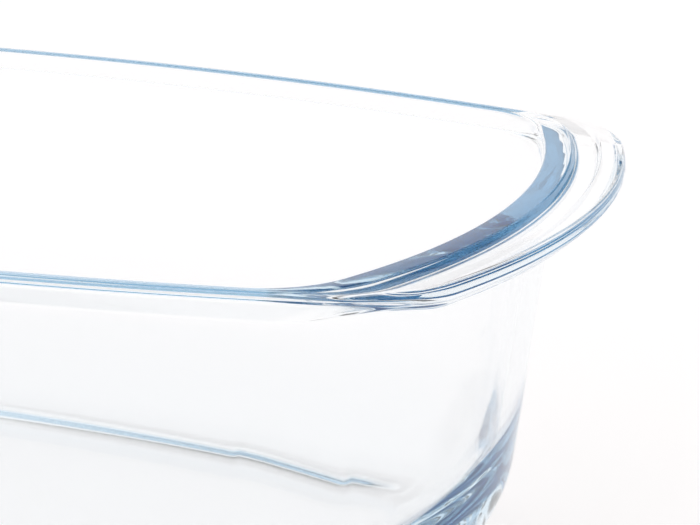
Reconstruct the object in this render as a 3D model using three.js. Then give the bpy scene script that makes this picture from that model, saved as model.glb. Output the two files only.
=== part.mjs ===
// A clear pressed-glass loaf dish: a bowed rectangular bowl with a thickened rim all round and a flat
// crescent handle at each end. The whole dish is one pressing, so it is one closed solid.
// Units are millimetres. +X runs along the dish, +Z is up, and the origin is the middle of the underside.
import * as THREE from "three";

// Plan shape, measured along the inner edge of the rim.
const height = 68;
const innerHalfLength = 110.5;
const innerHalfWidth = 61.5;
const sideBow = 13.5; // how far a long side curves in between its middle and its ends
const endBow = 20.5; // the same for a short end
const cornerRadius = 16;
const floorCornerShare = 0.5; // how fast the corners tighten towards the flat of the floor

// Bowl.
const floorThickness = 4.5;
const wallThickness = 3.3;
const wallInset = 8.8; // how far the walls lean in between the rim and the floor
const floorFillet = 25.2;
const heelRadius = 18;

// Rim and handles. A reach is measured outwards from the rim's inner edge, a depth down from the top.
// The nose is the rounded outer edge, the ledge how far it stands out over the surface below it, the band
// the flat inner part of the top, and the fillet meets the wall at the given depth.
const innerEdgeRadius = 0.8;
const rimCrown = 0.1; // rise of the rounded top above its two edges
const rim = {
  reach: 3.9,
  noseWidth: 0.9,
  noseDepth: 1.3,
  ledge: 0.9,
  band: 2.6,
  depth: 4.1,
  filletWidth: 0.6,
  filletHeight: 0.4,
  relief: 0,
};
const handle = {
  reach: 13.5,
  noseWidth: 1.8,
  noseDepth: 3.5,
  ledge: 1.6,
  band: 4.6,
  depth: 3.3,
  filletWidth: 2.8,
  filletHeight: 3.5,
  relief: 1,
};
const handleCornerRadius = 22;
const grooveDepth = 1;
const stepDepth = 0.6; // height of the groove's outer step where it turns over

// Facets along each quarter of the plan outline.
const endSteps = 7;
const cornerSteps = 6;
const sideSteps = 7;

const glass = new THREE.MeshStandardMaterial({
  color: 0xdceef7,
  roughness: 0.02,
  metalness: 0,
  transparent: true,
  opacity: 0.35,
});

const lean = Math.atan(wallInset / (height - floorThickness));
const bowRadius = (halfChord, bow) => (halfChord ** 2 + bow ** 2) / (2 * bow);
const sideRadius = bowRadius(innerHalfLength, sideBow);
const endRadius = bowRadius(innerHalfWidth, endBow);
const sideCentre = new THREE.Vector2(0, innerHalfWidth - sideRadius);
const endCentre = new THREE.Vector2(innerHalfLength - endRadius, 0);

// Offset of the inner wall from the rim's inner edge, at height z.
const innerWallAt = (z) => -Math.tan(lean) * (height - z);

// A curve's points, without its last one, which the next curve starts with.
const openPoints = (curve, steps) => curve.getPoints(steps).slice(0, -1);

function arc(centre, radius, from, to, clockwise = false) {
  return new THREE.EllipseCurve(centre.x, centre.y, radius, radius, from, to, clockwise);
}

// Middle of the corner circle, which touches the end arc and the side arc from inside.
function cornerCentre(endArc, sideArc, radius) {
  const toSide = sideCentre.clone().sub(endCentre);
  const gap = toSide.length();
  const fromEnd = endArc - radius;
  const fromSide = sideArc - radius;
  const along = (fromEnd ** 2 - fromSide ** 2 + gap ** 2) / (2 * gap);
  const across = Math.sqrt(fromEnd ** 2 - along ** 2);
  const direction = toSide.normalize();
  const normal = new THREE.Vector2(-direction.y, direction.x);
  return endCentre.clone().addScaledVector(direction, along).addScaledVector(normal, across);
}

// A loop of stations from one quarter of it, anticlockwise from the middle of the +X end.
function loopOf(quarter, mirrorX, mirrorY) {
  const half = [...quarter, ...quarter.slice(0, -1).reverse().map(mirrorX)];
  return [...half, ...half.slice(1, -1).reverse().map(mirrorY)];
}

// The plan outline that lies the given offsets outside the rim's inner edge.
function planLoop(sideOffset, endOffset, radius) {
  const sideArc = sideRadius + sideOffset;
  const endArc = endRadius + endOffset;
  const corner = cornerCentre(endArc, sideArc, radius);
  const endAngle = corner.clone().sub(endCentre).angle();
  const sideAngle = corner.clone().sub(sideCentre).angle();
  const quarter = [
    ...openPoints(arc(endCentre, endArc, 0, endAngle), endSteps),
    ...openPoints(arc(corner, radius, endAngle, sideAngle), cornerSteps),
    ...arc(sideCentre, sideArc, sideAngle, Math.PI / 2).getPoints(sideSteps),
  ];
  return loopOf(
    quarter,
    (p) => new THREE.Vector2(-p.x, p.y),
    (p) => new THREE.Vector2(p.x, -p.y),
  );
}

// The share of the handle's relief at each station: none along the sides, and all of it at the ends.
function reliefLoop() {
  const fade = (i) => 1 - THREE.MathUtils.smoothstep(i / cornerSteps, 0, 0.8);
  const quarter = [
    ...Array(endSteps).fill(1),
    ...Array.from({ length: cornerSteps }, (_, i) => fade(i)),
    ...Array(sideSteps + 1).fill(0),
  ];
  const same = (share) => share;
  return loopOf(quarter, same, same);
}

// The glass cut through, from the floor up the inner wall, over the rim and down the outside to the base.
// x is the offset outwards from the rim's inner edge, and y is the height.
function section({ reach, noseWidth, noseDepth, ledge, band, depth, filletWidth, filletHeight, relief }) {
  const top = height - rimCrown;
  const under = height - depth;
  const groove = top - relief * grooveDepth;
  const step = top - relief * stepDepth;
  const lip = reach - noseWidth;
  const noseUnder = top - noseDepth;
  // The shoulder is the share of the nose's depth where it starts to turn under, lower on a handle.
  const shoulder = 0.3 + 0.2 * relief;
  const bevel = noseDepth * (0.92 - shoulder);
  // The groove and the step are placed by shares of the way from the band to the nose.
  const across = (share) => band + (lip - band) * share;
  const wallX = innerWallAt(under) + wallThickness;
  const belowFillet = under - filletHeight;

  const fillet = new THREE.Vector2(0, floorThickness + floorFillet);
  fillet.x = innerWallAt(fillet.y) - floorFillet / Math.cos(lean);
  const heel = new THREE.Vector2(0, heelRadius);
  heel.x = innerWallAt(heel.y) + wallThickness - heelRadius / Math.cos(lean);

  const stretches = [];
  const at = new THREE.Vector2();
  const bend = (steps, cx, cy, x, y) => {
    const end = new THREE.Vector2(x, y);
    stretches.push([new THREE.QuadraticBezierCurve(at.clone(), new THREE.Vector2(cx, cy), end), steps]);
    at.copy(end);
  };
  const line = (steps, x, y) => bend(steps, (at.x + x) / 2, (at.y + y) / 2, x, y);
  const turn = (steps, curve) => {
    stretches.push([curve, steps]);
    at.copy(curve.getPoint(1));
  };

  turn(5, arc(fillet, floorFillet, -Math.PI / 2, -lean));
  line(3, innerWallAt(top - innerEdgeRadius), top - innerEdgeRadius);
  bend(3, 0, top, innerEdgeRadius, top);
  bend(2, (innerEdgeRadius + band) / 2, top + 2 * rimCrown, band, top);
  bend(2, across(0.07), groove, across(0.2), groove);
  line(1, across(0.56), groove);
  bend(1, across(0.6), groove, across(0.63), step);
  bend(1, across(0.66), top, across(0.7), top);
  line(1, lip, top);
  bend(3, reach, top, reach, top - noseDepth * shoulder);
  bend(2, reach, noseUnder + bevel, reach - ledge * 0.3, noseUnder + bevel * 0.7);
  line(1, reach - ledge, noseUnder);
  line(1, wallX + filletWidth, under);
  bend(3, wallX, under, innerWallAt(belowFillet) + wallThickness, belowFillet);
  const heelArc = arc(heel, heelRadius, -lean, -Math.PI / 2, true);
  line(3, heelArc.getPoint(0).x, heelArc.getPoint(0).y);
  turn(5, heelArc);
  return [...stretches.flatMap(([curve, steps]) => openPoints(curve, steps)), at];
}

// The rings of the dish, each a closed loop of points, from the floor round the rim to the base.
function dishRings() {
  const side = section(rim);
  const end = section(handle);
  const relief = reliefLoop();
  return side.map((s, i) => {
    const e = end[i];
    const spread = (e.x - s.x) / (handle.reach - rim.reach);
    const inset = s.x - innerWallAt(s.y);
    const radius = cornerRadius + inset * (inset < 0 ? floorCornerShare : 1)
      + spread * (handleCornerRadius - cornerRadius - rim.reach);
    return planLoop(s.x, e.x, radius).map(
      (p, j) => new THREE.Vector3(p.x, p.y, THREE.MathUtils.lerp(s.y, e.y, relief[j])),
    );
  });
}

// Skins the rings, and closes the first and the last with a flat fan.
function skin(rings) {
  const count = rings[0].length;
  const points = rings.flat();
  const index = [];
  for (let i = 0; i + 1 < rings.length; i++) {
    for (let j = 0; j < count; j++) {
      const a = i * count + j;
      const b = i * count + ((j + 1) % count);
      index.push(a, a + count, b, b, a + count, b + count);
    }
  }
  const cap = (ring, flip) => {
    const middle = points.length;
    points.push(new THREE.Vector3(0, 0, rings[ring][0].z));
    for (let j = 0; j < count; j++) {
      const a = ring * count + j;
      const b = ring * count + ((j + 1) % count);
      index.push(middle, flip ? b : a, flip ? a : b);
    }
  };
  cap(0, false);
  cap(rings.length - 1, true);
  return new THREE.BufferGeometry().setFromPoints(points).setIndex(index);
}

const dish = new THREE.Mesh(skin(dishRings()), glass);
dish.name = "glass_dish";

const loafDish = new THREE.Group();
loafDish.add(dish);

export default loafDish;
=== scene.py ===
"""A clear pressed-glass loaf dish on a pale floor in soft studio light.

Units are metres, in the frame of the CAD part.
"""

from math import atan, atan2, cos, pi, radians, sin, sqrt, tan

import bpy
import numpy as np
from mathutils import Matrix, Vector


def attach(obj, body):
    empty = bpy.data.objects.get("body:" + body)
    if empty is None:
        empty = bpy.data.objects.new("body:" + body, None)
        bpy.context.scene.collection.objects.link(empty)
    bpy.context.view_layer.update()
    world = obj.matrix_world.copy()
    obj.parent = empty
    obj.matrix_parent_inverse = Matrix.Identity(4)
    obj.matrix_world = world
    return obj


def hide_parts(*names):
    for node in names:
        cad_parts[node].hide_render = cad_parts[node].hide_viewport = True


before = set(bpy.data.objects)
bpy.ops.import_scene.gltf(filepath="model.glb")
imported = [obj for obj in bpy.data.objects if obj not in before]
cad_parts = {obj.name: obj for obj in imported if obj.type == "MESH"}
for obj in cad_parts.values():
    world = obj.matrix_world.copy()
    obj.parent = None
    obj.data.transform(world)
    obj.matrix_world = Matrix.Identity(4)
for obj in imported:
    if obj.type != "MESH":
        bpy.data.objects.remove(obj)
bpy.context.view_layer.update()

# Plan shape, measured along the inner edge of the rim.
HEIGHT = 0.068
INNER_HALF_LENGTH = 0.1105
INNER_HALF_WIDTH = 0.0615
SIDE_BOW = 0.0135  # how far a long side curves in between its middle and its ends
END_BOW = 0.0205  # the same for a short end
CORNER_RADIUS = 0.016
FLOOR_CORNER_SHARE = 0.5  # how fast the corners tighten towards the flat of the floor

# Bowl.
FLOOR_THICKNESS = 0.0045
WALL_THICKNESS = 0.0033
WALL_INSET = 0.0088  # how far the walls lean in between the rim and the floor
FLOOR_FILLET = 0.0252
HEEL_RADIUS = 0.018

# Rim and handles. A reach is measured outwards from the rim's inner edge, a depth down from the rim's top.
# A nose is the rounded outer edge, as width and depth, and a ledge is how far it stands out over the
# surface below it. A band is the flat inner part of the top. A fillet meets the wall, as width and height.
INNER_EDGE_RADIUS = 0.0008
RIM_CROWN = 0.0001  # rise of the rounded top above its two edges
RIM_REACH = 0.0039
RIM_NOSE = (0.0009, 0.0013)
RIM_LEDGE = 0.0009
RIM_BAND = 0.0026
COLLAR_DEPTH = 0.0041
COLLAR_FILLET = (0.0006, 0.0004)
HANDLE_REACH = 0.0135
HANDLE_NOSE = (0.0018, 0.0035)
HANDLE_LEDGE = 0.0016
HANDLE_BAND = 0.0046
HANDLE_DEPTH = 0.0033
HANDLE_FILLET = (0.0028, 0.0035)
HANDLE_CORNER_RADIUS = 0.022
GROOVE_DEPTH = 0.001
STEP_DEPTH = 0.0006  # height of the groove's outer step where it turns over

# Points along each quarter of the plan outline, and along a bend and a straight of the section.
END_STEPS = 40
CORNER_STEPS = 40
SIDE_STEPS = 40
CURVE_STEPS = 10
WALL_STEPS = 10

GLASS_IOR = 1.474
GLASS_ROUGHNESS = 0.012
GLASS_TINT = (0.2, 0.58, 0.8, 1)
GLASS_DENSITY = 6.5

# Dim parts of the studio round the dish: azimuth, elevation, inner and outer half-angle, brightness left.
DARK_PATCHES = (
    (108, 38, 13, 16, 0.03),
    (88, 15, 6, 10, 0.1),
    (292, 20, 10, 20, 0.1),
    (335, 30, 35, 75, 0.15),
    (45, 25, 15, 25, 0.1),
    (180, 25, 15, 25, 0.1),
)
# The light and the floor's own glow are a little warm, so that the glass's slight blue comes out neutral.
STUDIO_LIGHT = (1.07, 1.05, 1.05)
FLOOR_GLOW = (0.745, 0.73, 0.73)
LIGHT_BOUNCES = 400
FLOOR_REACH = 3.0
FLOOR_DROP = 0.0002  # keeps the floor clear of the underside

CAMERA_AZIMUTH = 22.33  # round from -Y towards +X, in degrees like the next two
CAMERA_ELEVATION = 17.82
CAMERA_ROLL = -0.28
CAMERA_DISTANCE = 0.4162
CAMERA_TARGET = (0.08362, 0, HEIGHT - 0.01306)
CAMERA_LENS = 134.1

WALL_SLOPE = WALL_INSET / (HEIGHT - FLOOR_THICKNESS)


def bow_radius(half_chord, bow):
    return (half_chord**2 + bow**2) / (2 * bow)


SIDE_RADIUS = bow_radius(INNER_HALF_LENGTH, SIDE_BOW)
END_RADIUS = bow_radius(INNER_HALF_WIDTH, END_BOW)
SIDE_CENTRE = np.array([0, INNER_HALF_WIDTH - SIDE_RADIUS])
END_CENTRE = np.array([INNER_HALF_LENGTH - END_RADIUS, 0])


def inner_wall_at(z):
    """Offset of the inner wall from the rim's inner edge."""
    return -WALL_SLOPE * (HEIGHT - z)


def outer_wall_at(z):
    return inner_wall_at(z) + WALL_THICKNESS


def arc(centre, radius, start, end, steps):
    angles = np.linspace(start, end, steps + 1)
    return np.c_[centre[0] + radius * np.cos(angles), centre[1] + radius * np.sin(angles)]


def bezier(start, control, end, steps):
    t = np.linspace(0, 1, steps + 1)[:, None]
    return (1 - t) ** 2 * np.array(start) + 2 * t * (1 - t) * np.array(control) + t * t * np.array(end)


def corner_centre(end_arc, side_arc, radius):
    """Middle of the corner circle, which touches the end arc and the side arc from inside."""
    to_side = SIDE_CENTRE - END_CENTRE
    gap = np.linalg.norm(to_side)
    from_end = end_arc - radius
    from_side = side_arc - radius
    along = (from_end**2 - from_side**2 + gap**2) / (2 * gap)
    across = sqrt(from_end**2 - along**2)
    direction = to_side / gap
    normal = np.array([-direction[1], direction[0]])
    return END_CENTRE + direction * along + normal * across


def loop_of(quarter, mirror_x=(-1, 1), mirror_y=(1, -1)):
    """A loop of stations from one quarter of it, anticlockwise from the middle of the +X end."""
    half = np.concatenate([quarter, quarter[:-1][::-1] * mirror_x])
    return np.concatenate([half, half[1:-1][::-1] * mirror_y])


def plan_loop(side_offset, end_offset, radius):
    """The plan outline that lies the given offsets outside the rim's inner edge."""
    side_arc = SIDE_RADIUS + side_offset
    end_arc = END_RADIUS + end_offset
    corner = corner_centre(end_arc, side_arc, radius)
    end_angle = atan2(*(corner - END_CENTRE)[::-1])
    side_angle = atan2(*(corner - SIDE_CENTRE)[::-1])
    return loop_of(np.vstack([
        arc(END_CENTRE, end_arc, 0, end_angle, END_STEPS)[:-1],
        arc(corner, radius, end_angle, side_angle, CORNER_STEPS)[:-1],
        arc(SIDE_CENTRE, side_arc, side_angle, pi / 2, SIDE_STEPS),
    ]))


def relief_loop():
    """The share of the handle's section at each station: all of it at the ends, none along the sides."""
    x = np.clip(np.arange(CORNER_STEPS) / CORNER_STEPS / 0.8, 0, 1)
    quarter = np.concatenate([np.ones(END_STEPS), 1 - x * x * (3 - 2 * x), np.zeros(SIDE_STEPS + 1)])
    return loop_of(quarter, 1, 1)


def section(reach, nose, ledge, band, depth, wall_fillet, relief):
    """The glass cut through, from the floor up the inner wall, over the rim and down to the base."""
    top = HEIGHT - RIM_CROWN
    under = HEIGHT - depth
    groove = top - relief * GROOVE_DEPTH
    step = top - relief * STEP_DEPTH
    nose_width, nose_depth = nose
    lip = reach - nose_width
    nose_under = top - nose_depth
    # The shoulder is the share of the nose's depth where it starts to turn under, lower on a handle.
    shoulder = 0.3 + 0.2 * relief
    bevel = nose_depth * (0.92 - shoulder)

    lean = atan(WALL_SLOPE)
    fillet_z = FLOOR_THICKNESS + FLOOR_FILLET
    fillet = (inner_wall_at(fillet_z) - FLOOR_FILLET / cos(lean), fillet_z)
    heel = (outer_wall_at(HEEL_RADIUS) - HEEL_RADIUS / cos(lean), HEEL_RADIUS)
    heel_arc = arc(heel, HEEL_RADIUS, -lean, -pi / 2, 2 * CURVE_STEPS)
    wall_x = outer_wall_at(under)
    fillet_width, fillet_height = wall_fillet
    below_fillet = under - fillet_height

    stretches = [arc(fillet, FLOOR_FILLET, -pi / 2, -lean, 2 * CURVE_STEPS)]

    def across(share):
        return band + (lip - band) * share

    def bend(control, end):
        stretches.append(bezier(stretches[-1][-1], control, end, CURVE_STEPS))

    def line(steps, end):
        """A straight whose points crowd towards its ends, so that the shading turns over there."""
        t = (1 - np.cos(np.linspace(0, pi, steps + 1)[:, None])) / 2
        stretches.append((1 - t) * stretches[-1][-1] + t * np.array(end))

    line(WALL_STEPS, (inner_wall_at(top - INNER_EDGE_RADIUS), top - INNER_EDGE_RADIUS))
    bend((0, top), (INNER_EDGE_RADIUS, top))
    bend(((INNER_EDGE_RADIUS + band) / 2, top + 2 * RIM_CROWN), (band, top))
    bend((across(0.07), groove), (across(0.2), groove))
    line(4, (across(0.56), groove))
    bend((across(0.6), groove), (across(0.63), step))
    bend((across(0.66), top), (across(0.7), top))
    line(2, (lip, top))
    bend((reach, top), (reach, top - nose_depth * shoulder))
    bend((reach, nose_under + bevel), (reach - ledge * 0.3, nose_under + bevel * 0.7))
    line(2, (reach - ledge, nose_under))
    line(4, (wall_x + fillet_width, under))
    bend((wall_x, under), (outer_wall_at(below_fillet), below_fillet))
    line(WALL_STEPS, heel_arc[0])
    stretches.append(heel_arc)
    return np.vstack([part[:-1] for part in stretches] + [stretches[-1][-1:]])


def dish_rings():
    """The rings of the dish, from the floor round the rim to the base."""
    side = section(RIM_REACH, RIM_NOSE, RIM_LEDGE, RIM_BAND, COLLAR_DEPTH, COLLAR_FILLET, 0)
    end = section(HANDLE_REACH, HANDLE_NOSE, HANDLE_LEDGE, HANDLE_BAND, HANDLE_DEPTH, HANDLE_FILLET, 1)
    relief = relief_loop()
    rings = []
    for (side_x, side_z), (end_x, end_z) in zip(side, end):
        spread = (end_x - side_x) / (HANDLE_REACH - RIM_REACH)
        inset = side_x - inner_wall_at(side_z)
        radius = CORNER_RADIUS + inset * (FLOOR_CORNER_SHARE if inset < 0 else 1)
        radius += spread * (HANDLE_CORNER_RADIUS - CORNER_RADIUS - RIM_REACH)
        plan = plan_loop(side_x, end_x, radius)
        rings.append(np.c_[plan, side_z + (end_z - side_z) * relief])
    return np.array(rings)


def skin(name, rings):
    """Skins the rings as one closed mesh, with a flat cap inside the first ring and the last."""
    ring_count, count, _ = rings.shape
    points = [tuple(p) for p in rings.reshape(-1, 3)]
    faces = []
    for i in range(ring_count - 1):
        for j in range(count):
            a = i * count + j
            b = i * count + (j + 1) % count
            faces.append((a, a + count, b + count, b))
    faces.append(tuple(range(count)))
    last = (ring_count - 1) * count
    faces.append(tuple(reversed(range(last, last + count))))
    mesh = bpy.data.meshes.new(name)
    mesh.from_pydata(points, [], faces)
    mesh.validate()
    mesh.shade_smooth()
    piece = bpy.data.objects.new(name, mesh)
    bpy.context.scene.collection.objects.link(piece)
    return piece


def glass_material():
    material = bpy.data.materials.new("clear_glass")
    material.use_nodes = True
    nodes = material.node_tree.nodes
    links = material.node_tree.links
    shader = nodes["Principled BSDF"]
    shader.inputs["Base Color"].default_value = (1, 1, 1, 1)
    shader.inputs["Roughness"].default_value = GLASS_ROUGHNESS
    shader.inputs["IOR"].default_value = GLASS_IOR
    shader.inputs["Transmission Weight"].default_value = 1.0
    absorption = nodes.new("ShaderNodeVolumeAbsorption")
    absorption.inputs["Color"].default_value = GLASS_TINT
    absorption.inputs["Density"].default_value = GLASS_DENSITY
    links.new(absorption.outputs["Volume"], nodes["Material Output"].inputs["Volume"])
    return material


def aimed_patch(nodes, links, direction, azimuth, elevation, inner, outer, shade):
    """A factor that is 1 over the studio and falls smoothly to shade round one direction."""
    towards = Vector((cos(radians(azimuth)), sin(radians(azimuth)), tan(radians(elevation)))).normalized()
    aim = nodes.new("ShaderNodeVectorMath")
    aim.operation = "DOT_PRODUCT"
    aim.inputs[1].default_value = towards
    links.new(direction, aim.inputs[0])
    patch = nodes.new("ShaderNodeMapRange")
    patch.interpolation_type = "SMOOTHSTEP"
    patch.inputs["From Min"].default_value = cos(radians(outer))
    patch.inputs["From Max"].default_value = cos(radians(inner))
    patch.inputs["To Min"].default_value = 1
    patch.inputs["To Max"].default_value = shade
    links.new(aim.outputs["Value"], patch.inputs["Value"])
    return patch.outputs["Result"]


def studio_light():
    world = bpy.data.worlds.new("studio")
    bpy.context.scene.world = world
    world.use_nodes = True
    nodes = world.node_tree.nodes
    links = world.node_tree.links
    direction = nodes.new("ShaderNodeTexCoord").outputs["Generated"]
    tint = nodes.new("ShaderNodeVectorMath")
    tint.operation = "SCALE"
    tint.inputs[0].default_value = STUDIO_LIGHT
    strength = tint.inputs["Scale"]
    for patch in DARK_PATCHES[:-1]:
        product = nodes.new("ShaderNodeMath")
        product.operation = "MULTIPLY"
        links.new(aimed_patch(nodes, links, direction, *patch), product.inputs[0])
        links.new(product.outputs[0], strength)
        strength = product.inputs[1]
    links.new(aimed_patch(nodes, links, direction, *DARK_PATCHES[-1]), strength)
    links.new(tint.outputs["Vector"], nodes["Background"].inputs["Color"])


def studio_floor():
    mesh = bpy.data.meshes.new("floor")
    corners = [(x * FLOOR_REACH, y * FLOOR_REACH, 0) for x, y in ((-1, -1), (1, -1), (1, 1), (-1, 1))]
    mesh.from_pydata(corners, [], [(0, 1, 2, 3)])
    floor = bpy.data.objects.new("floor", mesh)
    floor.location.z = -FLOOR_DROP
    bpy.context.scene.collection.objects.link(floor)
    material = bpy.data.materials.new("floor")
    material.use_nodes = True
    shader = material.node_tree.nodes["Principled BSDF"]
    shader.inputs["Base Color"].default_value = (0.5, 0.5, 0.5, 1)
    shader.inputs["Roughness"].default_value = 0.9
    shader.inputs["Specular IOR Level"].default_value = 0.0
    shader.inputs["Emission Color"].default_value = (*FLOOR_GLOW, 1)
    shader.inputs["Emission Strength"].default_value = 1.0
    mesh.materials.append(material)


def view_settings():
    scene = bpy.context.scene
    scene.view_settings.view_transform = "Standard"
    scene.cycles.max_bounces = LIGHT_BOUNCES
    scene.cycles.transmission_bounces = LIGHT_BOUNCES
    scene.cycles.glossy_bounces = LIGHT_BOUNCES
    scene.cycles.use_denoising = True


def camera():
    azimuth = radians(CAMERA_AZIMUTH)
    elevation = radians(CAMERA_ELEVATION)
    roll = radians(CAMERA_ROLL)
    back = Vector((sin(azimuth) * cos(elevation), -cos(azimuth) * cos(elevation), sin(elevation)))
    level = Vector((cos(azimuth), sin(azimuth), 0))
    upright = back.cross(level)
    right = level * cos(roll) + upright * sin(roll)
    up = upright * cos(roll) - level * sin(roll)
    data = bpy.data.cameras.new("camera")
    data.lens = CAMERA_LENS
    data.sensor_width = 36
    data.clip_start = 0.01
    item = bpy.data.objects.new("camera", data)
    bpy.context.scene.collection.objects.link(item)
    place = Matrix((right, up, back)).transposed().to_4x4()
    place.translation = Vector(CAMERA_TARGET) + back * CAMERA_DISTANCE
    item.matrix_world = place
    bpy.context.scene.camera = item


camera()
dish = skin("dish", dish_rings())
dish.data.materials.append(glass_material())
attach(dish, "root")
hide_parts("glass_dish")
view_settings()
studio_light()
studio_floor()
